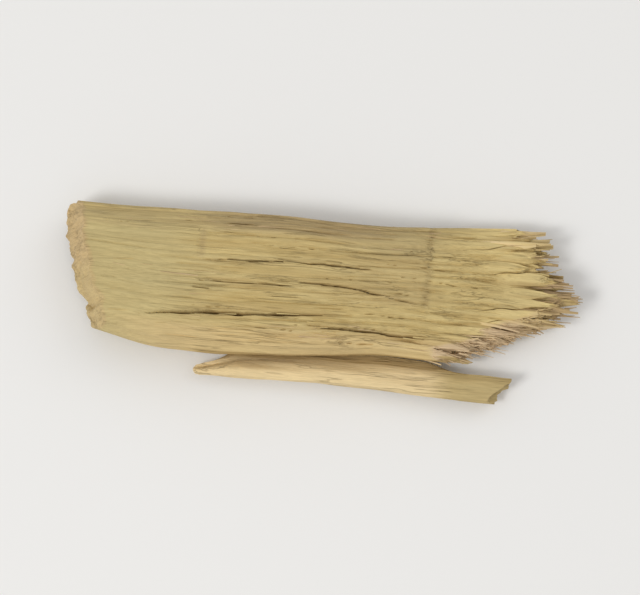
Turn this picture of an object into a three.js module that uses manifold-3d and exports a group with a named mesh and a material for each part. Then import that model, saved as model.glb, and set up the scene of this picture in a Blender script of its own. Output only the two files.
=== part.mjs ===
// One piece of quassia wood, a chip 30 mm long: a chipper's knife sheared it at one end, it tore off
// at the other, and its broad faces and long sides are split along the grain.
// Units are millimetres. +X runs along the grain towards the torn end, +Y across it, +Z up.
// The origin is on the small flat spot that the chip rests on, under its weight.

import * as THREE from "three";
import { mergeVertices } from "three/addons/utils/BufferGeometryUtils.js";
import Module from "manifold-3d";

const wasm = await Module();
wasm.setup();

// Driving dimensions of the wood. A pair of x values is where a change of form begins and is complete.
const CUT_X = -13; // the furthest point of the sheared end
const TORN_X = 17.5; // the furthest torn fibre
const FRONT_Y = -3.66;
const FRONT_NARROWING = { by: 0.46, from: -8, to: 9 };
const FRONT_CORNER = { by: 1, from: -6, to: -12.5 }; // the front edge runs in towards the sheared end too
const REAR_Y = 4.1;
const REAR_WIDENING = { by: 0.75, from: 4, to: 15 };
const EDGE_WAVE = 0.09;
const THICKNESS = 3.3;
const TORN_THINNING = { by: 1.15, from: 3, to: 17 };
const CUT_THINNING = { by: 0.2, from: -6, to: -13 };
const FOOT_X = 0.45; // where its weight bears down, which is moved over the origin at the end
const FOOT_Y = 0.2;

// Top face. Shares run from 0 at the front edge to 1 at the rear edge.
const CROWN = 0.25;
const SWELL = 0.09;
const BEVEL = { fromShare: 0.85, drop: 0.85 }; // the narrow facet along the rear edge
const LAYER = { height: 0.15, fromShare: 0.31, endX: 7.9 }; // a thin layer that breaks off across the grain

// Underside.
const TORN_LIFT = { by: 0.9, from: 4, to: 16 };
const CUT_LIFT = { by: 0.5, from: -3.5, to: -13 };
const EDGE_LIFT = 0.55;
const SPOT_X = 3.6; // half the length and half the width of the flat spot
const SPOT_Y = 2.2;
const SPOT_FADE = 1.7; // the roughness is whole at this many times the spot's size

// Long sides.
const FRONT_SIDE = { bulge: 0.26, undercut: 0.15 };
const REAR_SIDE = { bulge: 0.18, undercut: 0.35 };
const SIDE_WAVE = 0.12;

// Grain relief: ridges across the broad faces and up the long sides.
const RIDGES = 18;
const RIDGE_HEIGHT = 0.17;
const RIDGE_RUN = 5; // length along the grain over which a ridge swells and fades
const SIDE_RIDGES = 3;
const SIDE_RIDGE_HEIGHT = 0.14;

// The sheared end.
const CUT_SKEW = 2; // how far the front corner stands back
const CUT_SLANT = 0.95; // how far the top edge stands back, so that the cut shows from above
const CUT_NOTCH = { depth: 0.3, share: 0.18, halfShare: 0.04 };
const CUT_ROUGHNESS = 0.13;

// The torn end. It reaches furthest at its centre share and falls back to both sides of it.
const TORN_CENTRE = 0.42;
const TORN_FALL = { front: 18.5, rear: 5.2, power: 1.2 };
const TORN_ROOT = 1.7; // how far the solid wood ends behind the fibre tips
const TORN_CORNER = { fromShare: 0.47, toShare: 0.2 }; // the front corner, torn off on a slope
const TORN_SLOPE = 1.7; // how far that slope stands back at the top
const TORN_UNDERCUT = 0.9; // how far the underside stands back beside that corner
const TORN_ROUGHNESS = 0.55;

// The splinters that stand out of the torn end, in layers from the top down.
const SPLINTER_LAYERS = [
  { count: 15, level: 0.8, width: 0.66, depth: 0.6, setBack: 0.8, cornerSetBack: 1.3 },
  { count: 11, level: 0.4, width: 0.8, depth: 0.75, setBack: 0, cornerSetBack: 0.2 },
];
const SPLINTER_ROOT = 2.6; // how far a splinter is sunk in the wood
const SPLINTER_SPLAY = 0.7;
const SPLINTER_SHORTFALL = 1.3; // the most that a splinter falls short of the furthest reach
const SPLINTER_TIP = 0.16; // the tip's share of the width

// Drying cracks: where each starts and ends, how far it bows sideways, its width and depth.
const TOP_CRACKS = [
  { fromX: -8.5, fromY: -2.35, toX: 3.7, toY: -1.6, bow: 0.1, width: 0.44, depth: 0.65 },
  { fromX: 1.4, fromY: -2.25, toX: 10.5, toY: -2.35, bow: -0.1, width: 0.36, depth: 0.55 },
  { fromX: -5.1, fromY: -0.25, toX: 1.3, toY: -0.1, bow: 0, width: 0.28, depth: 0.4 },
  { fromX: 0.5, fromY: 0.2, toX: 8, toY: -0.55, bow: 0.12, width: 0.26, depth: 0.45 },
  { fromX: -5, fromY: 0.95, toX: 6, toY: 1.15, bow: 0.2, width: 0.26, depth: 0.4 },
];
const UNDERSIDE_CRACKS = [
  { fromX: -9.5, fromY: -2.2, toX: 4.5, toY: -2, bow: -0.1, width: 0.4, depth: 0.6 },
  { fromX: -1.5, fromY: 2.3, toX: 11.5, toY: 1.9, bow: 0.12, width: 0.42, depth: 0.65 },
];
// Fissures between the fibre bundles of the torn end. They widen until they run out of the wood.
const TORN_FISSURES = [
  { fromX: 8.6, fromY: -2.1, toX: 15.6, toY: -1.5, bow: 0, width: 0.34, depth: 1.1 },
  { fromX: 10.2, fromY: -1.3, toX: 16.8, toY: -0.1, bow: 0, width: 0.3, depth: 1.3 },
  { fromX: 10, fromY: -0.5, toX: 17.6, toY: 0.4, bow: 0, width: 0.38, depth: 1.5 },
  { fromX: 10.6, fromY: 1.7, toX: 17, toY: 2.6, bow: 0, width: 0.34, depth: 1.3 },
  { fromX: 9.8, fromY: 3, toX: 16, toY: 4.3, bow: 0, width: 0.3, depth: 1.1 },
];
const CRACK_FOOT = 0.1; // the foot's share of the mouth's width
const CRACK_LEAST = 0.04; // how far open a crack still is where it ends, as a share
const CRACK_CLEAR = 0.6; // how far a cutting wedge stands clear of the face

// The sliver that is split off along the front side and still holds on over most of its length.
const SLIVER = { fromX: -4.8, toX: 13.6, outerY: -5.08, z: 0.4, width: 1.32, depth: 1.05 };
const SLIVER_SPREAD = { by: 0.35, from: 5, to: 12 }; // how far it stands away at its blunt end
const SLIVER_WIDENING = { by: 0.2, from: 3, to: 8 };
const SLIVER_HOLD = 0.5; // how far its foot runs in under the body where it holds on
const SLIVER_GROOVE = { by: 0.5, from: 2.5, to: -1.5 }; // near the thin end its top falls off inwards
const SLIVER_END_SLANT = 1.1;
const SLIVER_TIP = 0.4; // the thin end's share of the width and depth

// Steps of the meshes along, across and through the wood.
const BODY_STEPS = [26, 2 * RIDGES, 2 * SIDE_RIDGES];
const SPLINTER_STEPS = [4, 2, 1];
const SLIVER_STEPS = [18, 4, 2];
const CRACK_STEPS = [10, 1, 1];

const { clamp, lerp, smoothstep } = THREE.MathUtils;
const fract = (t) => t - Math.floor(t);
const middleHump = (t) => Math.sin(Math.PI * t);

// A fixed draw from 0 to 1 for each pair of whole numbers.
function draw(i, j, seed) {
  return fract(Math.sin(i * 127.1 + j * 311.7 + seed * 74.7) * 43758.5453);
}

// Smooth noise from -1 to 1 with one draw at each whole x and y.
function noise(x, y, seed) {
  const i = Math.floor(x);
  const j = Math.floor(y);
  const s = smoothstep(x - i, 0, 1);
  const t = smoothstep(y - j, 0, 1);
  const near = lerp(draw(i, j, seed), draw(i + 1, j, seed), s);
  const far = lerp(draw(i, j + 1, seed), draw(i + 1, j + 1, seed), s);
  return 2 * lerp(near, far, t) - 1;
}

// A change of form along the wood: 0 before its first x and its whole amount past its second.
function change({ by, from, to }, x) {
  return by * smoothstep((x - from) / (to - from), 0, 1);
}

// Height of the split grain over a face, from 0 in the furrows to 1 on the tallest ridges.
function grain(x, share, ridges, seed) {
  const ridge = Math.round(share * ridges);
  const crest = 1 - 2 * Math.abs(share * ridges - ridge);
  return crest * (0.6 + 0.4 * noise(x / RIDGE_RUN, ridge, seed));
}

// The long edges, seen from above.
function frontEdge(x) {
  return FRONT_Y + change(FRONT_NARROWING, x) + change(FRONT_CORNER, x) + EDGE_WAVE * noise(x / 3, 0, 3);
}

function rearEdge(x) {
  return REAR_Y + change(REAR_WIDENING, x) + EDGE_WAVE * noise(x / 3, 0, 4);
}

// How far a long side stands out of its edge at height w, from 0 at the underside to 1 at the top.
function sideBulge({ bulge, undercut }, x, w, seed) {
  const relief = SIDE_RIDGE_HEIGHT * grain(x, w, SIDE_RIDGES, seed) + SIDE_WAVE * noise(x / 6, 2 * w, seed);
  return bulge * middleHump(w) - undercut * (1 - w) ** 2 + relief;
}

// 1 in the torn-off front corner and 0 beside it.
function inCorner(v) {
  return smoothstep((v - TORN_CORNER.fromShare) / (TORN_CORNER.toShare - TORN_CORNER.fromShare), 0, 1);
}

// Where the torn fibres reach to across the width.
function tornReach(v) {
  const fall = v < TORN_CENTRE ? TORN_FALL.front : TORN_FALL.rear;
  return TORN_X - fall * Math.abs(v - TORN_CENTRE) ** TORN_FALL.power;
}

function cutEnd(v, w) {
  const skew = CUT_SKEW * (1 - v) ** 1.5;
  const notch = CUT_NOTCH.depth * Math.exp(-(((v - CUT_NOTCH.share) / CUT_NOTCH.halfShare) ** 2));
  return CUT_X + skew + notch + CUT_SLANT * w + CUT_ROUGHNESS * noise(v * RIDGES, w * 4, 7);
}

function tornEnd(v, w) {
  const corner = inCorner(v);
  const root = TORN_ROOT * (1 - 0.5 * corner);
  const slope = TORN_SLOPE * w * corner + TORN_UNDERCUT * (1 - w) * (1 - corner);
  return tornReach(v) - root - slope + TORN_ROUGHNESS * noise(v * RIDGES, w * 3, 8);
}

function topHeight(x, v) {
  const body = THICKNESS - change(TORN_THINNING, x) - change(CUT_THINNING, x);
  const crown = CROWN * (2 * v - 1) ** 2;
  const bevel = (BEVEL.drop * Math.max(0, v - BEVEL.fromShare)) / (1 - BEVEL.fromShare);
  const beforeEnd = 1 - smoothstep(x, LAYER.endX, LAYER.endX + 0.5);
  const onLayer = beforeEnd * smoothstep(v, LAYER.fromShare, LAYER.fromShare + 0.04);
  const relief = SWELL * noise(x / 7, v * 4, 9) + RIDGE_HEIGHT * grain(x, v, RIDGES, 1);
  return body - crown - bevel + LAYER.height * onLayer + relief;
}

// The underside is rough everywhere but on the flat spot, where it is 0.
function bottomHeight(x, v) {
  const y = lerp(frontEdge(x), rearEdge(x), v);
  const edges = EDGE_LIFT * (2 * v - 1) ** 4;
  const furrows = RIDGE_HEIGHT * (1 - grain(x, v, RIDGES, 2));
  const rough = change(TORN_LIFT, x) + change(CUT_LIFT, x) + edges + furrows;
  const outOfSpot = Math.hypot((x - FOOT_X) / SPOT_X, (y - FOOT_Y) / SPOT_Y);
  return rough * smoothstep(outOfSpot, 1, SPOT_FADE);
}

function toSolid(geometry) {
  geometry.deleteAttribute("normal");
  geometry.deleteAttribute("uv");
  const merged = mergeVertices(geometry, 1e-5);
  return new wasm.Manifold(
    new wasm.Mesh({
      numProp: 3,
      vertProperties: merged.getAttribute("position").array,
      triVerts: new Uint32Array(merged.index.array),
    }),
  );
}

function toGeometry(solid) {
  const { vertProperties, triVerts } = solid.getMesh();
  const geometry = new THREE.BufferGeometry();
  geometry.setAttribute("position", new THREE.BufferAttribute(vertProperties, 3));
  geometry.setIndex(new THREE.BufferAttribute(triVerts, 1));
  geometry.computeVertexNormals();
  return geometry;
}

// A box whose every vertex is moved to place(u, v, w), the shares along, across and through it.
function bentBox([along, across, through], place) {
  const geometry = new THREE.BoxGeometry(1, 1, 1, along, across, through);
  const position = geometry.getAttribute("position");
  for (let i = 0; i < position.count; i++) {
    const u = position.getX(i) + 0.5;
    const v = position.getY(i) + 0.5;
    const w = position.getZ(i) + 0.5;
    position.setXYZ(i, ...place(u, v, w));
  }
  return toSolid(geometry);
}

// The wood between its two ends.
function body() {
  return bentBox(BODY_STEPS, (u, v, w) => {
    const x = lerp(cutEnd(v, w), tornEnd(v, w), u);
    const front = frontEdge(x) - sideBulge(FRONT_SIDE, x, w, 5);
    const rear = rearEdge(x) + sideBulge(REAR_SIDE, x, w, 6);
    return [x, lerp(front, rear, v), lerp(bottomHeight(x, v), topHeight(x, v), w)];
  });
}

// One splinter: a bar that is sunk in the wood at its root, bends on its way out and narrows to its tip.
function splinter(v, layer, reach, seed) {
  const fixed = (n) => draw(seed, n, 11);
  const from = reach - TORN_ROOT - SPLINTER_ROOT;
  const rootY = lerp(frontEdge(from), rearEdge(from), v);
  const rootZ = lerp(bottomHeight(from, v), topHeight(from, v), layer.level) - 0.2;
  const splay = SPLINTER_SPLAY * (2 * v - 1) ** 3 + 0.3 * (fixed(1) - 0.5);
  const lift = 0.5 * (fixed(2) - 0.4);
  const width = layer.width * (0.7 + 0.6 * fixed(4));
  const depth = layer.depth * (0.8 + 0.4 * fixed(5));
  const bluntness = 2 + 5 * fixed(6) ** 2;
  const skew = 0.3 * (fixed(7) - 0.5);
  return bentBox(SPLINTER_STEPS, (u, a, b) => {
    const narrowing = Math.max(SPLINTER_TIP, 1 - u ** bluntness);
    const ridge = 0.5 - 0.5 * Math.abs(2 * a - 1);
    const x = lerp(from, reach, u) + skew * u * (2 * a - 1);
    const y = rootY + splay * u ** 2 + width * narrowing * (a - 0.5);
    const z = rootZ + lift * u ** 2 + depth * narrowing * (0.5 + 0.5 * ridge) * (2 * b - 1);
    return [x, y, z];
  });
}

function splinters() {
  const made = [];
  SPLINTER_LAYERS.forEach((layer, tier) => {
    for (let i = 0; i < layer.count; i++) {
      const seed = 20 * tier + i;
      const v = clamp((i + 0.3 + 0.4 * draw(seed, 0, 11)) / layer.count, 0.05, 0.95);
      const setBack = lerp(layer.setBack, layer.cornerSetBack, inCorner(v));
      const reach = tornReach(v) - setBack - SPLINTER_SHORTFALL * draw(seed, 3, 11) ** 2;
      made.push(splinter(v, layer, reach, seed));
    }
  });
  return made;
}

// How far open a crack is along its run. A closed one is widest halfway, and a fissure where it runs out.
const closedCrack = (u) => Math.max(CRACK_LEAST, middleHump(u) ** 0.7);
const openFissure = (u) => Math.max(CRACK_LEAST, u ** 0.8);

// A wedge to cut out along a crack of the top face or the underside. It narrows towards its foot.
function crack({ fromX, fromY, toX, toY, bow, width, depth }, opening, height, into) {
  return bentBox(CRACK_STEPS, (u, v, w) => {
    const x = lerp(fromX, toX, u);
    const middle = lerp(fromY, toY, u) + bow * middleHump(u);
    const share = clamp((middle - frontEdge(x)) / (rearEdge(x) - frontEdge(x)), 0, 1);
    const mouth = into < 0 ? w : 1 - w;
    const reachIn = lerp(depth * opening(u), -CRACK_CLEAR, mouth);
    const halfWidth = 0.5 * width * opening(u) * lerp(CRACK_FOOT, 1, mouth);
    return [x, middle + halfWidth * (2 * v - 1), height(x, share) + into * reachIn];
  });
}

function cracks() {
  return [
    ...TOP_CRACKS.map((c) => crack(c, closedCrack, topHeight, -1)),
    ...TORN_FISSURES.map((c) => crack(c, openFissure, topHeight, -1)),
    ...UNDERSIDE_CRACKS.map((c) => crack(c, closedCrack, bottomHeight, 1)),
  ];
}

function sliver() {
  return bentBox(SLIVER_STEPS, (u, v, w) => {
    const full = lerp(SLIVER_TIP, 1, smoothstep(u, -0.02, 0.16));
    const slant = SLIVER_END_SLANT * (v - 1) * smoothstep(u, 0.7, 1);
    const x = lerp(SLIVER.fromX, SLIVER.toX, u) + slant + 0.35 * u * noise(4 * v, 2 * w, 13);
    const hold = SLIVER_HOLD * smoothstep(u, 0.06, 0.16) * (1 - smoothstep(u, 0.72, 0.86)) * (1 - w);
    const outer = SLIVER.outerY - change(SLIVER_SPREAD, x) + 0.05 * noise(x / 2.5, 0, 14);
    const width = (SLIVER.width + change(SLIVER_WIDENING, x)) * full + hold;
    const depth = SLIVER.depth * full * (1 - 0.3 * u);
    const low = SLIVER.z + 0.24 * (1 - full) + 0.25 * u ** 2;
    const relief = 0.12 * noise(x / 4, 4 * v, 15) - 0.22 * (2 * v - 1) ** 2;
    const groove = change(SLIVER_GROOVE, x) * full * smoothstep(v, 0.3, 0.9) * w;
    return [x, outer + width * v, low + depth * w + relief * (2 * w - 1) - groove];
  });
}

// The piece that holds together. A fissure can cut the end of a fibre loose, and such a scrap is dropped.
function largestPiece(solid) {
  return solid.decompose().reduce((a, b) => (b.volume() > a.volume() ? b : a));
}

function woodChip() {
  let solid = body();
  for (const piece of [sliver(), ...splinters()]) solid = solid.add(piece);
  for (const wedge of cracks()) solid = solid.subtract(wedge);
  const paleWood = new THREE.MeshStandardMaterial({
    name: "pale_wood",
    color: new THREE.Color(0xbba676),
    roughness: 0.78,
    metalness: 0,
  });
  const mesh = new THREE.Mesh(toGeometry(largestPiece(solid).translate(-FOOT_X, -FOOT_Y, 0)), paleWood);
  mesh.name = "wood_chip";
  return mesh;
}

const part = new THREE.Group();
part.add(woodChip());

export default part;
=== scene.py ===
"""One chip of quassia wood, finished for a close view.

The chip was sheared off at one end and torn off at the other, and its faces are split along the grain.
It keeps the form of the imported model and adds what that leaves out: fine relief, hairline cracks, loose
fibres and colour.
"""

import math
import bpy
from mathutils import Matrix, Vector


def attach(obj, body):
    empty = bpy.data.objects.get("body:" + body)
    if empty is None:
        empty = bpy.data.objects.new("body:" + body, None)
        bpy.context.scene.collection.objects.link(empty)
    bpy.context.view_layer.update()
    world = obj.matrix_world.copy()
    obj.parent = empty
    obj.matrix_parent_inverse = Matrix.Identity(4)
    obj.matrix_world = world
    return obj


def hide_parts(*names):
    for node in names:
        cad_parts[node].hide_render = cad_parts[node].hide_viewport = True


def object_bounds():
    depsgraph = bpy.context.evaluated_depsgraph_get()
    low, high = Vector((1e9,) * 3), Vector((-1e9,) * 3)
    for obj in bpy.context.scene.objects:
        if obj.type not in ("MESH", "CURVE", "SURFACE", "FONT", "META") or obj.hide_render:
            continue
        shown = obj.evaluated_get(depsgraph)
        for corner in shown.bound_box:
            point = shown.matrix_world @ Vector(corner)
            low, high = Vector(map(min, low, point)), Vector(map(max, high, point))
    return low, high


bl_info = {
    "name": "Quassia Wood Chip",
    "version": (1, 0, 0),
    "blender": (4, 5, 0),
    "location": "3D View > Sidebar > Wood Chip",
    "description": "Models and finishes a split chip of pale wood with a torn end",
    "category": "Add Mesh",
}

from typing import NamedTuple

import bmesh
import bpy
import numpy as np
from bpy.props import FloatProperty, FloatVectorProperty, IntProperty, PointerProperty
from mathutils import Vector

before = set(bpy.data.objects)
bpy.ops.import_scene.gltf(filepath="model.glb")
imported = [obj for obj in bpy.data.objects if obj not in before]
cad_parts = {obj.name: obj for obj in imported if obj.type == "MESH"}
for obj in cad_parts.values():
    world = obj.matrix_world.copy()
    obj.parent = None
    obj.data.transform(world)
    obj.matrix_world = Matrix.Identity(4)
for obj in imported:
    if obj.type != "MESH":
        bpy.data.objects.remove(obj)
CAD_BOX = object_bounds()
NODE = "wood_chip"
BODY = "root"
MM = 0.001


class Change(NamedTuple):
    """A change of form along the wood, nothing at its first x and its whole amount past its second."""

    by: float
    start: float
    end: float

    def at(self, x):
        return self.by * smoothstep(x, self.start, self.end)


class Side(NamedTuple):
    """How a long side bulges, and how far it runs in under the chip."""

    bulge: float
    undercut: float
    seed: int


class Crack(NamedTuple):
    """A crack along the grain: its two ends seen from above, how far it bows, its width and its depth."""

    from_x: float
    from_y: float
    to_x: float
    to_y: float
    bow: float
    width: float
    depth: float

    def middle(self, u):
        return lerp(self.from_y, self.to_y, u) + self.bow * hump(u)


class Layer(NamedTuple):
    """A row of splinters: how many, how high in the wood, their size and how far they stand back."""

    count: int
    level: float
    width: float
    depth: float
    set_back: float
    corner_set_back: float


# The chip's form in millimetres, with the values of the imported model.
CUT_X = -13.0
TORN_X = 17.5
FRONT_Y = -3.66
FRONT_NARROWING = Change(0.46, -8, 9)
FRONT_CORNER = Change(1.0, -6, -12.5)
REAR_Y = 4.1
REAR_WIDENING = Change(0.75, 4, 15)
EDGE_WAVE = 0.09
THICKNESS = 3.3
TORN_THINNING = Change(1.15, 3, 17)
CUT_THINNING = Change(0.2, -6, -13)
FOOT = (0.45, 0.2, 0.0)
CROWN = 0.25
SWELL = 0.09
BEVEL_SHARE = 0.85
BEVEL_DROP = 0.85
LAYER_HEIGHT = 0.15
LAYER_SHARE = 0.31
LAYER_END_X = 7.9
TORN_LIFT = Change(0.9, 4, 16)
CUT_LIFT = Change(0.5, -3.5, -13)
EDGE_LIFT = 0.55
SPOT_X = 3.6
SPOT_Y = 2.2
SPOT_FADE = 1.7
FRONT_SIDE = Side(0.26, 0.15, 5)
REAR_SIDE = Side(0.18, 0.35, 6)
SIDE_WAVE = 0.12
RIDGES = 18
RIDGE_HEIGHT = 0.17
RIDGE_RUN = 5
SIDE_RIDGES = 3
SIDE_RIDGE_HEIGHT = 0.14
CUT_SKEW = 2.0
CUT_SLANT = 0.95
CUT_NOTCH_DEPTH = 0.3
CUT_NOTCH_SHARE = 0.18
CUT_NOTCH_HALF_SHARE = 0.04
CUT_ROUGHNESS = 0.13
TORN_CENTRE = 0.42
TORN_FALL_FRONT = 18.5
TORN_FALL_REAR = 5.2
TORN_FALL_POWER = 1.2
TORN_ROOT = 1.7
CORNER_FROM_SHARE = 0.47
CORNER_TO_SHARE = 0.2
TORN_SLOPE = 1.7
TORN_UNDERCUT = 0.9
TORN_ROUGHNESS = 0.55
SPLINTER_LAYERS = [
    Layer(15, 0.8, 0.66, 0.6, 0.8, 1.3),
    Layer(11, 0.4, 0.8, 0.75, 0.0, 0.2),
]
SPLINTER_ROOT = 2.6
SPLINTER_SPLAY = 0.7
SPLINTER_SHORTFALL = 1.3
SPLINTER_TIP = 0.16
TOP_CRACKS = [
    Crack(-8.5, -2.35, 3.7, -1.6, 0.1, 0.44, 0.65),
    Crack(1.4, -2.25, 10.5, -2.35, -0.1, 0.36, 0.55),
    Crack(-5.1, -0.25, 1.3, -0.1, 0, 0.28, 0.4),
    Crack(0.5, 0.2, 8, -0.55, 0.12, 0.26, 0.45),
    Crack(-5, 0.95, 6, 1.15, 0.2, 0.26, 0.4),
]
UNDERSIDE_CRACKS = [
    Crack(-9.5, -2.2, 4.5, -2, -0.1, 0.4, 0.6),
    Crack(-1.5, 2.3, 11.5, 1.9, 0.12, 0.42, 0.65),
]
TORN_FISSURES = [
    Crack(8.6, -2.1, 15.6, -1.5, 0, 0.34, 1.1),
    Crack(10.2, -1.3, 16.8, -0.1, 0, 0.3, 1.3),
    Crack(10, -0.5, 17.6, 0.4, 0, 0.38, 1.5),
    Crack(10.6, 1.7, 17, 2.6, 0, 0.34, 1.3),
    Crack(9.8, 3, 16, 4.3, 0, 0.3, 1.1),
]
CRACK_FOOT = 0.1
CRACK_LEAST = 0.04
CRACK_CLEAR = 0.6
SLIVER_FROM_X = -4.8
SLIVER_TO_X = 13.6
SLIVER_OUTER_Y = -5.08
SLIVER_Z = 0.4
SLIVER_WIDTH = 1.32
SLIVER_DEPTH = 1.05
SLIVER_SPREAD = Change(0.35, 5, 12)
SLIVER_WIDENING = Change(0.2, 3, 8)
SLIVER_HOLD = 0.5
SLIVER_GROOVE = Change(0.5, 2.5, -1.5)
SLIVER_END_SLANT = 1.1
SLIVER_TIP = 0.4

# What the fine piece adds, in millimetres. Rows are counted across the chip, a run is the length along the
# grain over which a relief changes, and a share is one of the chip's width.
FIBRE_ROWS = 56
FIBRE_RUN = 3.5
FIBRE_WANDER = 0.008
FINE_ROWS = 124
FINE_RUN = 1.5
VESSEL_ROWS = 70
VESSEL_RUN = 2.8
VESSEL_DEPTH = 0.06
RIDGE_WANDER = 0.022
RUBBED_LEAST = 0.45
RUBBED_X = (-9, -3)
HAIRLINE_RUN = (2.5, 9.0)
HAIRLINE_WIDTH = (0.07, 0.15)
HAIRLINE_DEPTH = (0.08, 0.22)
TORN_FRAY = 0.5
TORN_BUNDLES = 12
TORN_FURROW = 0.65
BUNDLE_STEP = 0.3
SPLINTER_FRAY = 0.55
SCALE_END_X = -5.1
SCALE_SHARES = (0.6, 0.86)
SCALE_STEP_FROM = (0.6, 0.63)
SCALE_STEP_TO = (0.87, 0.84)
SCALE_HEIGHT = 0.06
KNIFE_MARK = 0.03
SLIVER_FRAY = 0.22
SLIVER_ROUNDING = 0.18

# Every loose fibre is a spike of few sides. FIBRE_TIP is its radius at the tip for one of 0.5 at the root.
FIBRE_SEED = 7
FIBRE_SIDES = 4
FIBRE_TIP = 0.18

# Where loose fibres start, as shares of the chip's width and of its height.
FIBRE_SHARES = (0.02, 0.98)
SPLINT_LEVELS = (0.2, 0.93)
TORN_FIBRE_LEVELS = (0.1, 0.97)

# Loose fibres in millimetres: how far back from the torn edge they start, their lengths and their widths.
SPLINT_START = (2.6, 5)
SPLINT_SHORTFALL = 1.8
SPLINT_CORNER_SHORTFALL = 1.3
SPLINT_WIDTH = (0.2, 0.56)
SPLINT_CORNER_NARROWING = 0.55
TORN_FIBRE_START = (1, 3)
TORN_FIBRE_LENGTH = (0.4, 1.7)
TORN_FIBRE_WIDTH = (0.05, 0.12)
FUZZ_START = (0.1, 0.3)
FUZZ_LENGTH = (0.2, 0.6)
FUZZ_WIDTH = (0.07, 0.15)
LIFTED_LENGTH = (0.8, 3.2)
LIFTED_WIDTH = (0.04, 0.09)
LIFTED_RISE = 0.09
LIFTED_SINK = 0.03

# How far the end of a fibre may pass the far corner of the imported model's box, in millimetres.
MOST_PAST_BOX = (0.3, 0, 0.08)

# How dark the painted shade is in low places, at steps and on the sliver's inner band, and how strong the
# wear and the bevel's darker tone are, from 0 to 1.
CRACK_SHADE = 0.75
CRACK_BAND_SHADE = 0.22
VALLEY_SHADE = 0.35
TIP_SHADE = 0.2
BESIDE_SLIVER_SHADE = 0.6
GAP_SHADE = 0.7
BEVEL_LEAST_DARK = 0.1
LAYER_WORN = 0.33
STEP_SHADE = 0.45
BAND_SHADE = 0.5
DULL_SLIVER_WORN = 0.4

# The stretches along the chip, in millimetres, over which a colour comes or goes.
BLEACHED_X = (-8, -3)
BEVEL_DARKER_X = (-7, -2)
BEVEL_PLAIN_X = (3, 10)
BEVEL_FOOT_X = (-9, -4)
LAYER_WORN_X = (-2, 7)
FLANK_X = (-11, -6)
SHADED_BAND_X = (1, 6)
SLIVER_DULL_X = (8.5, 10.5)
GAP_X = (9, 11.5)

# The same for the painted shade that browns the loose fibres towards the torn tips, measured from the chip's
# origin.
FIBRE_SHADE_X = (11.5, 16.0)

# Half the width in millimetres of the strip of painted shade where a layer ends.
LAYER_STRIP = 0.35
SCALE_STRIP = 0.3

# How far the painted shade along a crack reaches beside it, in widths of the crack.
CRACK_BAND_REACH = 1.25

# How strongly each kind of surface takes its colour, in the order in which the colours are laid on. The mark
# of wear also holds painted shade at the steps and on the sliver's inner band.
MARK_STRENGTHS = {
    "bleached": 0.62,
    "torn": 0.7,
    "flank": 0.45,
    "sliver": 0.85,
    "weathered": 0.72,
    "sheared": 0.8,
    "corner": 0.75,
}

# How much of the pores' colour goes where the wood is bleached, and how strong it is elsewhere.
BLEACHED_CLEARNESS = 0.75
VESSEL_STRENGTH = 0.22
LINE_STRENGTH = 0.28

# The patterns that the grain group puts out.
GRAIN_OUTPUTS = ("Streak", "Tint", "Line", "Vessel", "Fibre", "Shear")

# Depths of the finest bumps in millimetres, which the finish gives and not the mesh.
WOOD_BUMP = 0.04
FIBRE_BUMP = 0.02

# Steps of the fine meshes along, across and through the wood.
BODY_STEPS = (180, 150, 20)
SPLINTER_STEPS = (16, 8, 4)
SLIVER_STEPS = (90, 10, 8)
FISSURE_STEPS = (28, 3, 6)
FIBRE_RINGS = 5
SHARP_ANGLE = math.radians(55)

# The stage in metres. Each light stands off from the middle of the chip.
FLOOR_SIZE = 1.5
KEY_OFFSET = (-0.24, -0.2, 0.34)
KEY_SIZE = 0.14
FILL_OFFSET = (0.3, 0.2, 0.3)
FILL_SIZE = 0.3
NEAREST_SEEN = 0.01


def lerp(a, b, t):
    return a + (b - a) * t


def smoothstep(x, start, end):
    """0 up to start, 1 past end and an eased climb between them. start may be the larger one."""
    t = np.clip((x - start) / (end - start), 0, 1)
    return t * t * (3 - 2 * t)


def hump(t):
    return np.sin(math.pi * t)


def draw(i, j, seed):
    """A fixed draw from 0 to 1 for each pair of whole numbers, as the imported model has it.

    The seed tells the uses apart, so that two reliefs don't repeat each other.
    """
    t = np.sin(i * 127.1 + j * 311.7 + seed * 74.7) * 43758.5453
    return t - np.floor(t)


def noise(x, y, seed):
    """Smooth noise from -1 to 1 with one draw at each whole x and y."""
    i, j = np.floor(x), np.floor(y)
    s, t = smoothstep(x - i, 0, 1), smoothstep(y - j, 0, 1)
    near = lerp(draw(i, j, seed), draw(i + 1, j, seed), s)
    far = lerp(draw(i, j + 1, seed), draw(i + 1, j + 1, seed), s)
    return 2 * lerp(near, far, t) - 1


def grain(x, share, ridges, seed):
    """Height of the split grain, from 0 in the sharp furrows to 1 on the round ridges."""
    share = share + RIDGE_WANDER * noise(x / 6, share * 9, seed + 40)
    ridge = np.round(share * ridges)
    crest = 1 - (2 * (share * ridges - ridge)) ** 2
    return crest * (0.6 + 0.4 * noise(x / RIDGE_RUN, ridge, seed))


def fibres(x, share, seed):
    """Relief of the fibres that lie over the ridges, from -1 to 1."""
    wander = share + FIBRE_WANDER * noise(x / 7, share * 8, seed + 1)
    coarse = noise(x / FIBRE_RUN, wander * FIBRE_ROWS, seed)
    fine = noise(x / FINE_RUN, wander * FINE_ROWS, seed + 2)
    return 0.6 * coarse + 0.4 * fine


def vessels(x, share, seed):
    """1 in the long open pores that a split lays bare, and 0 beside them."""
    row = share * VESSEL_ROWS + 0.4 * noise(x / 5, share * 12, seed)
    inside = 1 - np.abs(2 * (row - np.floor(row)) - 1)
    run = noise(x / VESSEL_RUN, 3.7 * np.floor(row), seed + 1)
    return smoothstep(inside, 0.35, 0.8) * smoothstep(run, 0.3, 0.5)


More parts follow.
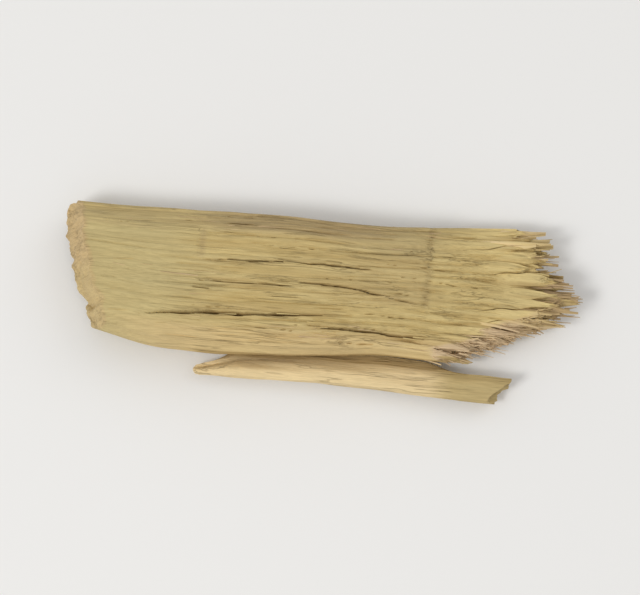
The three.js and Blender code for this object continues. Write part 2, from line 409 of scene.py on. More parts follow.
def rubbed(x):
    """How much is left of the low relief of the top face, which is rubbed down near the sheared end."""
    return lerp(RUBBED_LEAST, 1, smoothstep(x, *RUBBED_X))


def front_edge(x):
    return FRONT_Y + FRONT_NARROWING.at(x) + FRONT_CORNER.at(x) + EDGE_WAVE * noise(x / 3, 0 * x, 3)


def rear_edge(x):
    return REAR_Y + REAR_WIDENING.at(x) + EDGE_WAVE * noise(x / 3, 0 * x, 4)


def side_bulge(side, x, w):
    """How far a long side stands out of its edge, with w from 0 at the underside to 1 at the top."""
    relief = SIDE_RIDGE_HEIGHT * grain(x, w, SIDE_RIDGES, side.seed)
    relief = relief + SIDE_WAVE * noise(x / 6, 2 * w, side.seed)
    return side.bulge * hump(w) - side.undercut * (1 - w) ** 2 + relief


def share_at(x, y):
    return (y - front_edge(x)) / (rear_edge(x) - front_edge(x))


def in_corner(v):
    """1 in the torn-off front corner and 0 beside it."""
    return smoothstep(v, CORNER_FROM_SHARE, CORNER_TO_SHARE)


def torn_reach(v):
    fall = np.where(v < TORN_CENTRE, TORN_FALL_FRONT, TORN_FALL_REAR)
    return TORN_X - fall * np.abs(v - TORN_CENTRE) ** TORN_FALL_POWER


def cut_end(v, w):
    skew = CUT_SKEW * (1 - v) ** 1.5
    notch = CUT_NOTCH_DEPTH * np.exp(-(((v - CUT_NOTCH_SHARE) / CUT_NOTCH_HALF_SHARE) ** 2))
    return CUT_X + skew + notch + CUT_SLANT * w + CUT_ROUGHNESS * noise(v * RIDGES, w * 4, 7)


def torn_end(v, w):
    corner = in_corner(v)
    root = TORN_ROOT * (1 - 0.5 * corner)
    slope = TORN_SLOPE * w * corner + TORN_UNDERCUT * (1 - w) * (1 - corner)
    return torn_reach(v) - root - slope + TORN_ROUGHNESS * noise(v * RIDGES, w * 3, 8)


def on_layer(x, v):
    """1 where the thin upper layer is still on. It breaks off across the grain, fibre by fibre."""
    end = LAYER_END_X + 0.25 * (1 + noise(v * FIBRE_ROWS, 0 * v, 16))
    return (1 - smoothstep(x, end, end + 0.3)) * smoothstep(v, LAYER_SHARE, LAYER_SHARE + 0.04)


def on_scale(x, v):
    """1 on the thinner scale near the sheared end, which breaks off across the grain too."""
    end = SCALE_END_X + 0.12 * noise(v * FIBRE_ROWS, 0 * v, 44)
    inside = smoothstep(v, SCALE_SHARES[0], SCALE_SHARES[0] + 0.02)
    inside = inside * smoothstep(v, SCALE_SHARES[1], SCALE_SHARES[1] - 0.02)
    return inside * (1 - smoothstep(x, end, end + 0.2))


def top_height(x, v):
    """The top face without its cracks and fibres."""
    body = THICKNESS - TORN_THINNING.at(x) - CUT_THINNING.at(x)
    crown = CROWN * (2 * v - 1) ** 2
    bevel = BEVEL_DROP * np.maximum(0, v - BEVEL_SHARE) / (1 - BEVEL_SHARE)
    relief = SWELL * noise(x / 7, v * 4, 9) + RIDGE_HEIGHT * rubbed(x) * grain(x, v, RIDGES, 1)
    return body - crown - bevel + LAYER_HEIGHT * on_layer(x, v) + relief


def bundle_rows(x, v):
    """How many fibre bundles in from the front each place is, and how near to the edge of its bundle."""
    row = v * TORN_BUNDLES + 0.3 * noise(x / 9, v * 6, 27)
    return row, np.abs(2 * (row - np.floor(row)) - 1)


def torn_furrows(x, v):
    """How far the wood goes down between its fibre bundles, ever further towards the torn end."""
    growth = smoothstep(torn_reach(v) - x, 8, 1.5)
    row, edge = bundle_rows(x, v)
    furrow = TORN_FURROW * draw(np.round(row), 0, 28) * smoothstep(edge, 0.5, 1)
    step = BUNDLE_STEP * draw(np.floor(row), 0, 29) * (1 - smoothstep(edge, 0.5, 1))
    return growth * (furrow + step)


def spot_fade(x, v):
    """0 on the flat spot of the underside and 1 well away from it."""
    y = lerp(front_edge(x), rear_edge(x), v)
    return smoothstep(np.hypot((x - FOOT[0]) / SPOT_X, (y - FOOT[1]) / SPOT_Y), 1, SPOT_FADE)


def bottom_height(x, v):
    """The underside without its cracks and fibres."""
    rough = TORN_LIFT.at(x) + CUT_LIFT.at(x) + EDGE_LIFT * (2 * v - 1) ** 4
    rough = rough + RIDGE_HEIGHT * (1 - grain(x, v, RIDGES, 2))
    return rough * spot_fade(x, v)


def closed_crack(u):
    """How far open a crack is along its run, most of all halfway."""
    return np.maximum(CRACK_LEAST, np.maximum(0, hump(u)) ** 0.7)


def open_fissure(u):
    """How far open a fissure is, most of all where it runs out of the wood."""
    return np.maximum(CRACK_LEAST, u**0.8)


def hairline_cracks(count):
    """Short, shallow cracks of the top face, spread over it by fixed draws."""
    found = []
    for n in range(count):
        run = lerp(*HAIRLINE_RUN, draw(n, 0, 21) ** 1.5)
        x = lerp(CUT_X + 0.5, LAYER_END_X + 1.5 - 0.5 * run, draw(n, 1, 21))
        share = (n + draw(n, 2, 21)) / count
        y = lerp(FRONT_Y + 0.5, REAR_Y - 0.1, share)
        lean = 0.035 * run * (draw(n, 3, 21) - 0.35)
        width = lerp(*HAIRLINE_WIDTH, draw(n, 4, 21))
        depth = lerp(*HAIRLINE_DEPTH, draw(n, 5, 21))
        found.append(Crack(x, y, x + run, y + lean, 0.1 * (draw(n, 6, 21) - 0.5), width, depth))
    return found


def sunk(x, y, cracks):
    """How far the cracks go down at each place, in millimetres."""
    deepest = np.zeros_like(x)
    for n, crack in enumerate(cracks):
        u = (x - crack.from_x) / (crack.to_x - crack.from_x)
        inside = (u > 0) & (u < 1)
        opened = closed_crack(np.clip(u, 0, 1)) * (0.85 + 0.3 * noise(x / 0.8, 0 * x + n, 17))
        at_face = lerp(CRACK_FOOT, 1, crack.depth / (crack.depth + CRACK_CLEAR))
        half = 0.5 * crack.width * opened
        away = np.abs(y - crack.middle(u) - 0.05 * noise(x / 1.1, 0 * x + n, 18))
        wall = (half * at_face - away) / (half * (at_face - CRACK_FOOT))
        deepest = np.maximum(deepest, inside * crack.depth * opened * np.clip(wall, 0, 1))
    return deepest


def box_of_quads(steps):
    """A closed box one unit a side, with that many quads along each side."""
    bm = bmesh.new()
    bmesh.ops.create_cube(bm, size=1)
    bmesh.ops.translate(bm, verts=bm.verts, vec=(0.5, 0.5, 0.5))
    for axis, count in enumerate(steps):
        whole = [e for e in bm.edges if abs((e.verts[1].co - e.verts[0].co)[axis]) > 0.5]
        if count > 1:
            bmesh.ops.subdivide_edges(bm, edges=whole, cuts=count - 1, use_grid_fill=True)
    return bm


def formed_mesh(name, steps, place):
    """A closed mesh of quads whose vertices stand where place(u, v, w) puts them, in millimetres."""
    bm = box_of_quads(steps)
    mesh = bpy.data.meshes.new(name)
    bm.to_mesh(mesh)
    bm.free()
    shares = get_points(mesh)
    set_points(mesh, np.stack(place(*shares.T), axis=1))
    return mesh


def get_points(mesh):
    points = np.empty(3 * len(mesh.vertices), np.float32)
    mesh.vertices.foreach_get("co", points)
    return points.reshape(-1, 3).astype(float)


def set_points(mesh, points):
    mesh.vertices.foreach_set("co", points.astype(np.float32).ravel())
    mesh.update()


def combined(mesh, others, operation):
    """The closed mesh with each of the others joined to it, or cut out of it."""
    scene = bpy.context.scene
    work = bpy.data.objects.new("work", mesh)
    scene.collection.objects.link(work)
    helpers = []
    for other in others:
        helper = bpy.data.objects.new("helper", other)
        scene.collection.objects.link(helper)
        helpers.append(helper)
        modifier = work.modifiers.new("join", "BOOLEAN")
        modifier.operation = operation
        modifier.solver = "MANIFOLD"
        modifier.object = helper
    depsgraph = bpy.context.evaluated_depsgraph_get()
    result = bpy.data.meshes.new_from_object(work.evaluated_get(depsgraph))
    for obj in [work, *helpers]:
        used = obj.data
        bpy.data.objects.remove(obj)
        bpy.data.meshes.remove(used)
    if not result.polygons:
        raise RuntimeError("the solids could not be combined")
    return result


def keep_largest(mesh):
    """Drops each loose scrap, and keeps the largest piece that holds together."""
    bm = bmesh.new()
    bm.from_mesh(mesh)
    seen = set()
    pieces = []
    for start in bm.verts:
        if start.index in seen:
            continue
        seen.add(start.index)
        piece = [start]
        for vert in piece:
            for edge in vert.link_edges:
                other = edge.other_vert(vert)
                if other.index not in seen:
                    seen.add(other.index)
                    piece.append(other)
        pieces.append(piece)
    pieces.sort(key=len)
    scraps = [vert for piece in pieces[:-1] for vert in piece]
    bmesh.ops.delete(bm, geom=scraps, context="VERTS")
    bm.to_mesh(mesh)
    bm.free()


def body_mesh(chip):
    """The wood between its two ends."""
    relief = chip.fibre_relief / MM
    top_cracks = TOP_CRACKS + hairline_cracks(chip.hairline_cracks)

    def fine_side(side, x, w):
        return side_bulge(side, x, w) + relief * fibres(x, 0.4 * w, side.seed + 50)

    def fine_cut(v, w):
        marks = KNIFE_MARK * (noise(v * 70, w * 14, 23) + noise(v * 3, w * 9, 24))
        return cut_end(v, w) + marks

    def fine_tear(v, w):
        fray = TORN_FRAY * (draw(np.floor(v * 100), np.floor(w * 9), 25) - 0.6)
        return torn_end(v, w) + fray

    def place(u, v, w):
        x = lerp(fine_cut(v, w), fine_tear(v, w), u)
        y = lerp(front_edge(x) - fine_side(FRONT_SIDE, x, w), rear_edge(x) + fine_side(REAR_SIDE, x, w), v)
        across = lerp(front_edge(x), rear_edge(x), v)
        carved = relief * fibres(x, v, 30) - VESSEL_DEPTH * vessels(x, v, 32)
        carved = rubbed(x) * carved + SCALE_HEIGHT * on_scale(x, v)
        top = top_height(x, v) + carved - rubbed(x) * sunk(x, across, top_cracks) - torn_furrows(x, v)
        below = relief * (1 + fibres(x, v, 34)) + VESSEL_DEPTH * vessels(x, v, 36)
        bottom = bottom_height(x, v) + spot_fade(x, v) * (below + sunk(x, across, UNDERSIDE_CRACKS))
        return x, y, lerp(bottom, top, w)

    return formed_mesh("body", BODY_STEPS, place)


def splinter_mesh(share, layer, reach, seed, relief):
    """One splinter. It is sunk in the wood at its root, bends on its way out and frays at its tip."""

    def fixed(n):
        return draw(seed, n, 11)

    start = reach - TORN_ROOT - SPLINTER_ROOT
    root_y = lerp(front_edge(start), rear_edge(start), share)
    root_z = lerp(bottom_height(start, share), top_height(start, share), layer.level) - 0.2
    splay = SPLINTER_SPLAY * (2 * share - 1) ** 3 + 0.3 * (fixed(1) - 0.5)
    lift = 0.5 * (fixed(2) - 0.4)
    width = layer.width * (0.7 + 0.6 * fixed(4))
    depth = layer.depth * (0.8 + 0.4 * fixed(5))
    bluntness = 2 + 5 * fixed(6) ** 2
    skew = 0.3 * (fixed(7) - 0.5)

    def place(u, a, b):
        u = 1 - (1 - u) ** 1.5
        narrowing = np.maximum(SPLINTER_TIP, 1 - u**bluntness)
        ridge = 0.5 - 0.5 * np.abs(2 * a - 1)
        fray = SPLINTER_FRAY * draw(np.round(a * 8), np.round(b * 4), seed + 60) * smoothstep(u, 0.4, 1)
        x = lerp(start, reach, u) + skew * u * (2 * a - 1) - fray
        ripple = relief * noise(x / 1.5, a * 7 + 3 * b, seed + 61)
        y = root_y + splay * u**2 + width * narrowing * (a - 0.5) + ripple
        sunk_root = lerp(0.4, 1, smoothstep(u, 0, 0.5))
        half = depth * narrowing * sunk_root * (0.5 + 0.5 * ridge) + ripple
        return x, y, root_z + lift * u**2 + half * (2 * b - 1)

    return formed_mesh("splinter", SPLINTER_STEPS, place)


def splinter_meshes(relief):
    """The splinters of the torn end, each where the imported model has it."""
    made = []
    for tier, layer in enumerate(SPLINTER_LAYERS):
        for i in range(layer.count):
            seed = 20 * tier + i
            share = np.clip((i + 0.3 + 0.4 * draw(seed, 0, 11)) / layer.count, 0.05, 0.95)
            set_back = lerp(layer.set_back, layer.corner_set_back, in_corner(share))
            reach = torn_reach(share) - set_back - SPLINTER_SHORTFALL * draw(seed, 3, 11) ** 2
            made.append(splinter_mesh(share, layer, reach, seed, relief))
    return made


def sliver_width(x):
    return SLIVER_WIDTH + SLIVER_WIDENING.at(x)


def sliver_outer_edge(x):
    return SLIVER_OUTER_Y - SLIVER_SPREAD.at(x) + 0.05 * noise(x / 2.5, 0 * x, 14)


def sliver_inner_edge(x):
    return sliver_outer_edge(x) + sliver_width(x)


def sliver_mesh(relief):
    """The thin sliver that is split off along the front side."""

    def place(u, v, w):
        full = lerp(SLIVER_TIP, 1, smoothstep(u, -0.02, 0.16))
        slant = SLIVER_END_SLANT * (v - 1) * smoothstep(u, 0.7, 1)
        fray = SLIVER_FRAY * draw(np.round(v * 10), np.round(w * 8), 41) * smoothstep(u, 0.93, 1)
        x = lerp(SLIVER_FROM_X, SLIVER_TO_X, u) + slant - fray + 0.35 * u * noise(4 * v, 2 * w, 13)
        hold = SLIVER_HOLD * smoothstep(u, 0.06, 0.16) * (1 - smoothstep(u, 0.72, 0.86)) * (1 - w)
        width = sliver_width(x) * full + hold
        depth = SLIVER_DEPTH * full * (1 - 0.3 * u)
        low = SLIVER_Z + 0.24 * (1 - full) + 0.25 * u**2
        bend = 0.12 * noise(x / 4, 4 * v, 15) - 0.22 * (2 * v - 1) ** 2
        fine = relief * (noise(x / 2.5, v * 9, 42) + noise(x / 1.2, v * 5 + w * 7, 43))
        groove = SLIVER_GROOVE.at(x) * full * smoothstep(v, 0.3, 0.9) * w
        y = sliver_outer_edge(x) + width * v + fine * (2 * v - 1)
        z = low + depth * w + (bend + fine) * (2 * w - 1) - groove
        rounding = SLIVER_ROUNDING * (1 - smoothstep(u, 0, 0.03)) * ((2 * v - 1) ** 2 + (2 * w - 1) ** 2)
        return x + rounding, y, z

    return formed_mesh("sliver", SLIVER_STEPS, place)


def fissure_mesh(fissure):
    """A wedge to cut out along a fissure of the torn end. It wanders, and narrows towards its foot."""

    def place(u, v, w):
        x = lerp(fissure.from_x, fissure.to_x, u)
        opened = open_fissure(u) * (0.85 + 0.3 * noise(x / 0.7, 3 * w, 19))
        middle = fissure.middle(u) + 0.07 * noise(x / 0.9, 2 * w, 20)
        share = np.clip(share_at(x, fissure.middle(u)), 0, 1)
        reach_in = lerp(fissure.depth * open_fissure(u), -CRACK_CLEAR, w)
        half = 0.5 * fissure.width * opened * lerp(CRACK_FOOT, 1, w)
        return x, middle + half * (2 * v - 1), top_height(x, share) - reach_in

    return formed_mesh("fissure", FISSURE_STEPS, place)


class Skin(NamedTuple):
    """Where the vertices are on the chip.

    share and w are shares of its width and height. depth is how far in from the uncracked form a vertex
    lies, and front how far behind the front side. The rest are 1 on a part of the wood and 0 off it.
    """

    x: np.ndarray
    y: np.ndarray
    share: np.ndarray
    w: np.ndarray
    depth: np.ndarray
    front: np.ndarray
    on_sliver: np.ndarray
    on_wood: np.ndarray
    on_top: np.ndarray
    on_tear: np.ndarray
    on_cut: np.ndarray


def skin_of(mesh):
    x, y, z = get_points(mesh).T
    share = np.clip(share_at(x, y), 0, 1)
    top = top_height(x, share)
    bottom = bottom_height(x, share)
    w = np.clip((z - bottom) / (top - bottom), 0, 1)
    front = y - front_edge(x) + side_bulge(FRONT_SIDE, x, w)
    rear = rear_edge(x) + side_bulge(REAR_SIDE, x, w) - y
    depth = np.minimum.reduce([top - z, z - bottom, front, rear])
    on_sliver = smoothstep(-front, 0.02, 0.12)
    on_top = smoothstep(w, 0.6, 0.9)
    on_tear = smoothstep(x - torn_end(share, w), -0.5, 0.1)
    on_cut = 1 - smoothstep(x - cut_end(share, w), 0.05, 0.2)
    return Skin(x, y, share, w, depth, front, on_sliver, 1 - on_sliver, on_top, on_tear, on_cut)


def crack_band_shade(x, y):
    """Painted shade along the drying cracks of the top face: 1 along them and 0 well away from them."""
    darkened = np.zeros_like(x)
    for n, crack in enumerate(TOP_CRACKS):
        u = np.clip((x - crack.from_x) / (crack.to_x - crack.from_x), 0, 1)
        away = y - crack.middle(u) - 0.08 * noise(x / 2, 0 * x + n, 45)
        reach = CRACK_BAND_REACH * crack.width * closed_crack(u)
        darkened = np.maximum(darkened, np.exp(-((away / reach) ** 2)) * (u > 0) * (u < 1))
    return darkened


def step_strip(x, end, half_width):
    """1 in the middle of the narrow strip past the end of a layer, and 0 beside the strip."""
    middle = end + half_width
    return smoothstep(x, middle - half_width, middle) * smoothstep(x, middle + half_width, middle)


def torn_corner(skin):
    return in_corner(skin.share) * skin.on_tear * skin.on_wood


def bundle_valleys(skin):
    """1 low between two bundles of torn fibres and 0 on a bundle."""
    row, edge = bundle_rows(skin.x, skin.share)
    from_tip = torn_reach(skin.share) - skin.x
    low = draw(np.round(row), 0, 28) ** 0.5
    valley = smoothstep(from_tip, 7, 2) * smoothstep(edge, 0.4, 0.95) * low
    return valley * skin.on_top * skin.on_wood * (1 - torn_corner(skin))


def bevel_face(skin):
    return smoothstep(skin.share, BEVEL_SHARE - 0.05, BEVEL_SHARE + 0.04) * skin.on_wood


def sliver_outwards(skin):
    """0 at the sliver's inner edge and 1 at its outer one."""
    return (sliver_inner_edge(skin.x) - skin.y) / sliver_width(skin.x)


def dull_sliver(skin):
    return skin.on_sliver * smoothstep(skin.x, *SLIVER_DULL_X)


def crevice_shading(skin):
    """Painted shade in the low places: the cracks and a band along them, the tear's valleys and tips, and
    the gap beside the sliver.
    """
    x, share = skin.x, skin.share
    # Painted shade in the cracks, darker the deeper in, weaker on the tear and hardly any in the torn
    # corner.
    crack = CRACK_SHADE * smoothstep(skin.depth, 0.03, 0.75) * (1 - skin.on_cut)
    crack = crack * lerp(1, 0.6, skin.on_tear) * (1 - 0.9 * torn_corner(skin))
    # Painted shade in a band along the top cracks.
    band_shade = CRACK_BAND_SHADE * rubbed(x) * crack_band_shade(x, skin.y) * skin.on_top * skin.on_wood
    # Painted shade in the valleys between torn bundles.
    valley = VALLEY_SHADE * bundle_valleys(skin)
    # Painted shade over the torn tips towards the rear.
    tips = smoothstep(torn_reach(share) - x, 2.6, 0.6) * smoothstep(share, 0.3, 0.5) * skin.on_wood
    # Painted shade on the body's side under the sliver's root.
    beside = smoothstep(x, SLIVER_FROM_X - 0.5, SLIVER_FROM_X + 1) * smoothstep(skin.w, 0.75, 0.45)
    beside = beside * (1 - smoothstep(skin.front, 0.05, 0.3)) * skin.on_wood
    # Painted shade in the gap between the sliver and the body.
    in_gap = skin.on_sliver * smoothstep(sliver_outwards(skin), 0.1, -0.08) * (1 - smoothstep(x, *GAP_X))
    low = [crack, band_shade, valley, TIP_SHADE * tips, BESIDE_SLIVER_SHADE * beside, GAP_SHADE * in_gap]
    return np.maximum.reduce(low)


def wear_and_shade(skin):
    """Wear and painted shade: the bevel's darker, greyer tone, the worn upper layer and far end of the
    sliver, and painted shade at the steps and on the sliver's inner band.
    """
    x, share = skin.x, skin.share
    # The bevel turns darker and greyer away from the sheared end, and back to plain towards the torn end.
    bevel = bevel_face(skin) * lerp(BEVEL_LEAST_DARK, 1, smoothstep(x, *BEVEL_DARKER_X))
    bevel = bevel * (1 - smoothstep(x, *BEVEL_PLAIN_X))
    layer = on_layer(x, share) * smoothstep(x, *LAYER_WORN_X)
    # The strips where the upper layer and the scale end, and the foot of the bevel, take painted shade: the
    # shadow of each step and crease.
    layer_end = step_strip(x, LAYER_END_X, LAYER_STRIP) * smoothstep(share, LAYER_SHARE, LAYER_SHARE + 0.06)
    scale_end = step_strip(x, SCALE_END_X, SCALE_STRIP) * smoothstep(share, *SCALE_STEP_FROM)
    scale_end = scale_end * smoothstep(share, *SCALE_STEP_TO)
    bevel_foot = smoothstep(np.abs(share - BEVEL_SHARE + 0.03), 0.025, 0)
    bevel_foot = bevel_foot * (1 - smoothstep(x, *BEVEL_FOOT_X))
    steps = np.maximum.reduce([layer_end, 1.3 * scale_end, 0.9 * bevel_foot]) * skin.on_top * skin.on_wood
    # Painted shade on the sliver's inner half, where it slopes down into the gap.
    band = skin.on_sliver * smoothstep(sliver_outwards(skin), 0.5, 0.25) * (1 - smoothstep(x, *SHADED_BAND_X))
    dulled = DULL_SLIVER_WORN * dull_sliver(skin)
    return np.maximum.reduce([bevel, LAYER_WORN * layer, STEP_SHADE * steps, BAND_SHADE * band, dulled])


def mark_surface(mesh):
    """Stores what kind of surface each vertex is on, as shares from 0 to 1 for the finish to read. Some of
    them are painted shade: the cracks and gaps, and in part the wear.
    """
    skin = skin_of(mesh)
    x, share, on_wood = skin.x, skin.share, skin.on_wood
    torn = (1 - smoothstep(torn_reach(share) - x, 1.8, 6)) * on_wood
    sheared = skin.on_cut * lerp(0.55, 1, smoothstep(share, 0.35, 0.6))
    marks = {
        "crevice": crevice_shading(skin),
        # Fresh torn wood is paler. It is kept off the valleys between bundles, which also paints a highlight
        # on the crests.
        "torn": torn * (1 - 0.8 * bundle_valleys(skin)),
        "corner": torn_corner(skin),
        "weathered": wear_and_shade(skin),
        "flank": smoothstep(share, 0.16, 0.06) * smoothstep(x, *FLANK_X) * (1 - skin.on_tear) * on_wood,
        "sheared": sheared,
        "sliver": skin.on_sliver * (1 - dull_sliver(skin)),
        "bleached": (1 - smoothstep(x, *BLEACHED_X)) * (1 - bevel_face(skin)) * (1 - sheared) * on_wood,
    }
    for name, values in marks.items():
        attribute = mesh.attributes.new(name, "FLOAT", "POINT")
        attribute.data.foreach_set("value", values.astype(np.float32))


def add_piece(name, mesh, material):
    """Puts a finished mesh in the scene as a piece of the chip, whose weight is over the origin."""
    set_points(mesh, (get_points(mesh) - FOOT) * MM)
    mesh.name = name
    mesh.materials.clear()
    mesh.materials.append(material)
    mesh.shade_smooth()
    mesh.set_sharp_from_angle(angle=SHARP_ANGLE)
    piece = bpy.data.objects.new(name, mesh)
    bpy.context.scene.collection.objects.link(piece)
    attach(piece, BODY)
    return piece


class Fibres(NamedTuple):
    """Loose fibres, one in each row: where each starts and ends, how far it bends, its width and depth."""

    root: np.ndarray
    tip: np.ndarray
    bend: np.ndarray
    width: np.ndarray
    depth: np.ndarray


def fibre_meshes(name, found):
    """One mesh of all the fibres. Each is a closed four-sided spike that tapers and bends."""
    bm = bmesh.new()
    cone = {"segments": FIBRE_SIDES, "radius1": 0.5, "radius2": FIBRE_TIP, "depth": 1}
    bmesh.ops.create_cone(bm, cap_ends=True, **cone)
    long_edges = [e for e in bm.edges if abs(e.verts[1].co.z - e.verts[0].co.z) > 0.5]
    bmesh.ops.subdivide_edges(bm, edges=long_edges, cuts=FIBRE_RINGS - 1, use_grid_fill=True)
    single = bpy.data.meshes.new("single")
    bm.to_mesh(single)
    for _ in range(len(found.root) - 1):
        bm.from_mesh(single)
    mesh = bpy.data.meshes.new(name)
    bm.to_mesh(mesh)
    bm.free()
    bpy.data.meshes.remove(single)

    points = get_points(mesh).reshape(len(found.root), -1, 3)
    along = points[:, :, 2:] + 0.5
    section = np.zeros_like(points)
    section[:, :, 1] = points[:, :, 0] * found.width[:, None]
    section[:, :, 2] = points[:, :, 1] * found.depth[:, None]
    line = lerp(found.root[:, None], found.tip[:, None], along)
    line = line + found.bend[:, None] * (along * along)
    set_points(mesh, (line + section).reshape(-1, 3))
    return mesh


def within_box(found):
    """The fibres that stay in the chip's box or hardly pass it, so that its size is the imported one."""
    low = np.array(CAD_BOX[0]) / MM + FOOT
    high = np.array(CAD_BOX[1]) / MM + FOOT + MOST_PAST_BOX
    end = found.tip + found.bend
    kept = np.all((end > low) & (end < high) & (found.root > low), axis=1)
    return Fibres(*(values[kept] for values in found))


def rows(x, y, z):
    """One row for each fibre. A single number goes for all the fibres."""
    return np.stack(np.broadcast_arrays(x, y, z), axis=1)


def bends(count, rng, sideways, upwards):
    """A chance bend for each fibre, mostly less than the two spreads, which are in millimetres."""
    return rows(0, rng.normal(0, sideways, count), rng.normal(0, upwards, count))


def torn_points(share, w, start):
    """Points in the wood near the torn end, at a share of the width and of the height."""
    y = lerp(front_edge(start), rear_edge(start), share)
    top = top_height(start, share) - torn_furrows(start, share)
    return rows(start, y, lerp(bottom_height(start, share), top, w))


def splints(count, rng):
    """Slim splinters between the larger ones of the torn end."""
    share = rng.uniform(*FIBRE_SHARES, count)
    w = rng.uniform(*SPLINT_LEVELS, count)
    root = torn_points(share, w, torn_reach(share) - rng.uniform(*SPLINT_START, count))
    shortfall = SPLINT_SHORTFALL * rng.random(count) ** 1.2
    reach = torn_reach(share) - shortfall - SPLINT_CORNER_SHORTFALL * in_corner(share)
    length = reach - root[:, 0]
    lean = 0.25 * SPLINTER_SPLAY * (2 * share - 1) ** 3 + rng.normal(0, 0.035, count)
    tip = root + length[:, None] * rows(1, lean, rng.normal(0.01, 0.04, count))
    bend = bends(count, rng, 0.1, 0.08)
    width = rng.uniform(*SPLINT_WIDTH, count) * (1 - SPLINT_CORNER_NARROWING * in_corner(share))
    return Fibres(root, tip, bend, width, width * rng.uniform(0.5, 1, count))


def torn_fibres(count, rng):
    """Fine fibres that stand out of the torn end."""
    share = rng.uniform(*FIBRE_SHARES, count)
    w = rng.uniform(*TORN_FIBRE_LEVELS, count)
    root = torn_points(share, w, torn_reach(share) - rng.uniform(*TORN_FIBRE_START, count))
    length = rng.uniform(*TORN_FIBRE_LENGTH, count)
    length = np.minimum(length, torn_reach(share) + 0.1 - root[:, 0])
    lean = 0.2 * SPLINTER_SPLAY * (2 * share - 1) + rng.normal(0, 0.07, count)
    tip = root + length[:, None] * rows(1, lean, rng.normal(0.02, 0.1, count))
    bend = bends(count, rng, 0.1, 0.08)
    width = rng.uniform(*TORN_FIBRE_WIDTH, count)
    return Fibres(root, tip, bend * length[:, None], width, width)


def corner_fuzz(count, rng):
    """Short, dense fibres on the slope of the torn-off front corner."""
    share = rng.uniform(0, 0.5, count)
    w = rng.uniform(0, 1, count)
    root = torn_points(share, w, torn_end(share, w) - rng.uniform(*FUZZ_START, count))
    length = rng.uniform(*FUZZ_LENGTH, count)
    way = rows(1, rng.normal(-0.1, 0.25, count), rng.normal(0.15, 0.3, count))
    bend = bends(count, rng, 0.05, 0.05)
    width = rng.uniform(*FUZZ_WIDTH, count)
    return Fibres(root, root + length[:, None] * way, bend, width, width)


def lifted_fibres(count, rng):
    """Thin fibres that have come away from the top face and lie on it, loose at one end."""
    share = rng.uniform(*FIBRE_SHARES, count)
    start = rng.uniform(CUT_X + 3, TORN_X - 8, count)
    length = rng.uniform(*LIFTED_LENGTH, count)
    turn = np.where(rng.random(count) < 0.5, 1.0, -1.0)
    end = np.maximum(start + turn * length, CUT_X + CUT_SKEW + CUT_SLANT + 0.2)
    y = lerp(front_edge(start), rear_edge(start), share)
    tip_y = y + rng.normal(0, 0.06, count)
    tip_z = top_height(end, share_at(end, tip_y)) + rng.uniform(0, LIFTED_RISE, count)
    bend = rows(0, rng.normal(0, 0.05, count), 0)
    width = rng.uniform(*LIFTED_WIDTH, count)
    root = rows(start, y, top_height(start, share) - LIFTED_SINK)
    return Fibres(root, rows(end, tip_y, tip_z), bend, width, 0.7 * width)


def joined_fibres(*groups):
    return Fibres(*(np.concatenate(values) for values in zip(*groups)))


class Tree:
    """Adds nodes to a shader or a group of nodes. An input is given a value or another node's output."""

    def __init__(self, tree):
        self.tree = tree

    def node(self, kind, inputs=None, **settings):
        made = self.tree.nodes.new(kind)
        for name, value in settings.items():
            setattr(made, name, value)
        for key, value in (inputs or {}).items():
            if isinstance(value, bpy.types.NodeSocket):
                self.tree.links.new(value, made.inputs[key])
            else:
                made.inputs[key].default_value = value
        return made

    def maths(self, operation, a, b=0.0):
        return self.node("ShaderNodeMath", {0: a, 1: b}, operation=operation).outputs[0]

    def vector_maths(self, operation, a, b):
        return self.node("ShaderNodeVectorMath", {0: a, 1: b}, operation=operation).outputs[0]

    def stretched(self, place, along, across):
        """The place for a pattern with so many cells a millimetre along the fibres and across them."""
        return self.vector_maths("MULTIPLY", place, (along, across, across))

    def noise(self, vector, detail=2.0, roughness=0.5):
        inputs = {"Vector": vector, "Scale": 1.0, "Detail": detail, "Roughness": roughness}
        return self.node("ShaderNodeTexNoise", inputs).outputs[0]

    def between(self, value, start, end, low=0.0, high=1.0):
        """low up to start, high past end and an eased climb between them."""
        inputs = {0: value, 1: start, 2: end, 3: low, 4: high}
        return self.node("ShaderNodeMapRange", inputs, interpolation_type="SMOOTHSTEP").outputs[0]

    def mix(self, share, a, b, blend="MIX"):
        settings = {"data_type": "RGBA", "blend_type": blend, "clamp_factor": True}
        return self.node("ShaderNodeMix", {0: share, 6: a, 7: b}, **settings).outputs[2]

    def mark(self, name):
        return self.node("ShaderNodeAttribute", attribute_name=name).outputs["Fac"]


